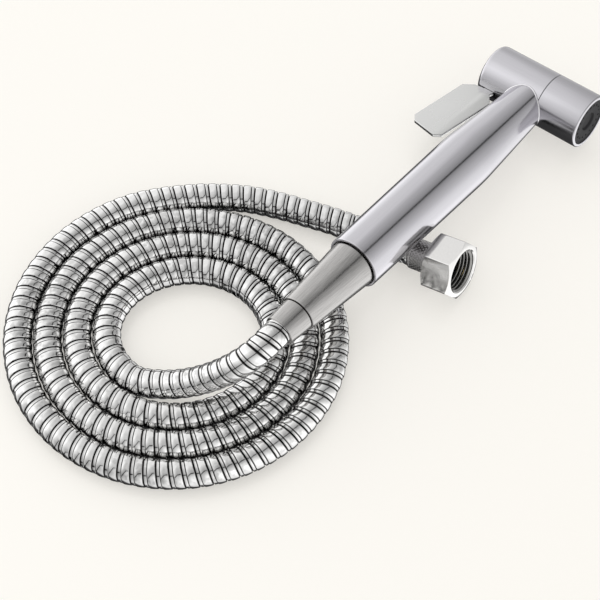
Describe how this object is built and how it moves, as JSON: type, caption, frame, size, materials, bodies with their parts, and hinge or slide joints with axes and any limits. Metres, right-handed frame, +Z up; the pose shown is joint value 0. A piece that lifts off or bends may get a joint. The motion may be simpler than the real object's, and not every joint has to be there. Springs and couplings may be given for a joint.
{
  "type": "handheld sprayer",
  "caption": "T-shaped stainless hand sprayer with a squeeze lever, on a coiled strip-wound metal hose that ends in a hex nut.",
  "frame": {"origin": "on the floor, under the middle of the handset's box (without its hose)", "axes": "+X along the handle towards the head, -Y the way the nozzle looks, +Z up"},
  "size_m": [0.3168, 0.1723, 0.047],
  "materials": {
    "satin_steel": "satin stainless steel, cool grey",
    "brushed_steel": "stainless steel brushed lengthwise, warm grey",
    "hose_steel": "polished strip-wound stainless steel",
    "hose_core": null,
    "nut_steel": "polished stainless steel",
    "lever_steel": "light polished stainless sheet",
    "plain_steel": "plain stainless steel",
    "brass": "machined brass",
    "spray_rubber": "charcoal silicone rubber, matt",
    "seal_rubber": "black rubber seal",
    "white_plastic": "white moulded plastic"
  },
  "bodies": {
    "handset": {"head_body": "satin_steel", "nozzle_sleeve": "satin_steel", "handle_tube": "satin_steel", "spray_plate": "spray_rubber", "flow_cup": "white_plastic", "waterway_tube": "white_plastic", "sleeve_seal": "seal_rubber", "guide_o_ring": "seal_rubber", "stem_o_ring": "seal_rubber", "waterway_seal": "seal_rubber", "cone_washer": "seal_rubber", "nut_washer": "seal_rubber", "valve_seat": "brass", "stem_guide": "brass", "handset_tailpiece": "brass", "supply_tailpiece": "brass", "valve_spring": "plain_steel", "lever_pin": "plain_steel", "inlet_connector": "plain_steel", "handset_ferrule": "brushed_steel", "supply_ferrule": "nut_steel", "hose_lead_in": "hose_core", "hose_coil": "hose_core", "hose_tail": "hose_core"},
    "lever": {"lever": "lever_steel"},
    "valve_stem": {"valve_stem": "plain_steel", "valve_seal": "seal_rubber"},
    "cone_nut": {"cone_nut": "brushed_steel"},
    "hex_nut": {"hex_nut": "nut_steel"}
  },
  "joints": [
    {"name": "lever_hinge", "type": "hinge", "parent": "handset", "child": "lever", "pos_m": [0.06428, 0.01643, 0.01596], "axis": [0.1055, 0.1219, 0.9869], "range_deg": [0, 5], "stiffness_Nm_per_rad": 0.3, "springref_deg": -8.59},
    {"name": "valve_stem_slide", "type": "slide", "parent": "handset", "child": "valve_stem", "axis": [-0.013, 0.9925, -0.1212], "range_m": [0, 0.00072]},
    {"name": "cone_nut_spin", "type": "hinge", "parent": "handset", "child": "cone_nut", "pos_m": [-0.07587, -0.00223, 0.03324], "axis": [-0.9943, 0, 0.1063], "continuous": true},
    {"name": "hex_nut_spin", "type": "hinge", "parent": "handset", "child": "hex_nut", "pos_m": [-0.03892, -0.02423, 0.01306], "axis": [0.1344, -0.9565, 0.2588], "continuous": true}
  ],
  "couplings": [
    {"joint": "valve_stem_slide", "follows": "lever_hinge", "m_per_rad": 0.0082}
  ]
}
